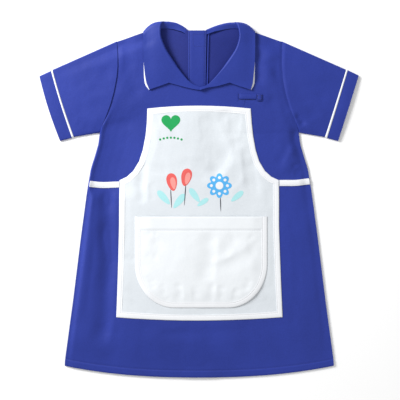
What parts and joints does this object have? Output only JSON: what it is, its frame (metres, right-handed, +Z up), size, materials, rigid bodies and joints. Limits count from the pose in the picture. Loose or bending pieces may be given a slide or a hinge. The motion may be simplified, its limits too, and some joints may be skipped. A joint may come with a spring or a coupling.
{
  "type": "nurse uniform dress",
  "caption": "Child's short-sleeved A-line nurse dress lying flat, with a rolled notched collar, a bound bib apron and a wide patch pocket.",
  "frame": {"origin": "middle of the garment's footprint, on the surface it lies on", "axes": "+Z up out of the front of the dress, +Y towards the neck, +X towards the picture's right, which is the wearer's left"},
  "size_m": [0.542, 0.6042, 0.0127],
  "materials": {
    "dress_cloth": "plain-woven royal blue polyester with a soft sheen",
    "apron_cloth": "thin plain-woven white polyester",
    "white_tape": "folded white bias tape, stitched along its inner edge",
    "hook_and_loop": "dark hook-and-loop tape"
  },
  "bodies": {
    "root": {"back_left": "dress_cloth", "back_right": "dress_cloth", "back_placket_band": "dress_cloth", "hook_patch": "hook_and_loop", "loop_patch": "hook_and_loop", "front": "dress_cloth", "sleeve_left": "dress_cloth", "sleeve_right": "dress_cloth", "cuff_piping_left": "white_tape", "cuff_piping_right": "white_tape", "cuff_left": "dress_cloth", "cuff_right": "dress_cloth", "collar_left": "dress_cloth", "collar_right": "dress_cloth", "collar_piping_left": "white_tape", "collar_piping_right": "white_tape", "apron": "apron_cloth", "apron_binding_top": "white_tape", "apron_binding_bottom": "white_tape", "apron_binding_left": "white_tape", "apron_binding_right": "white_tape", "waist_tape_left": "white_tape", "waist_tape_right": "white_tape", "pocket": "apron_cloth", "pocket_binding": "white_tape", "badge_tab": "dress_cloth", "badge_tab_end": "dress_cloth"}
  },
  "joints": []
}
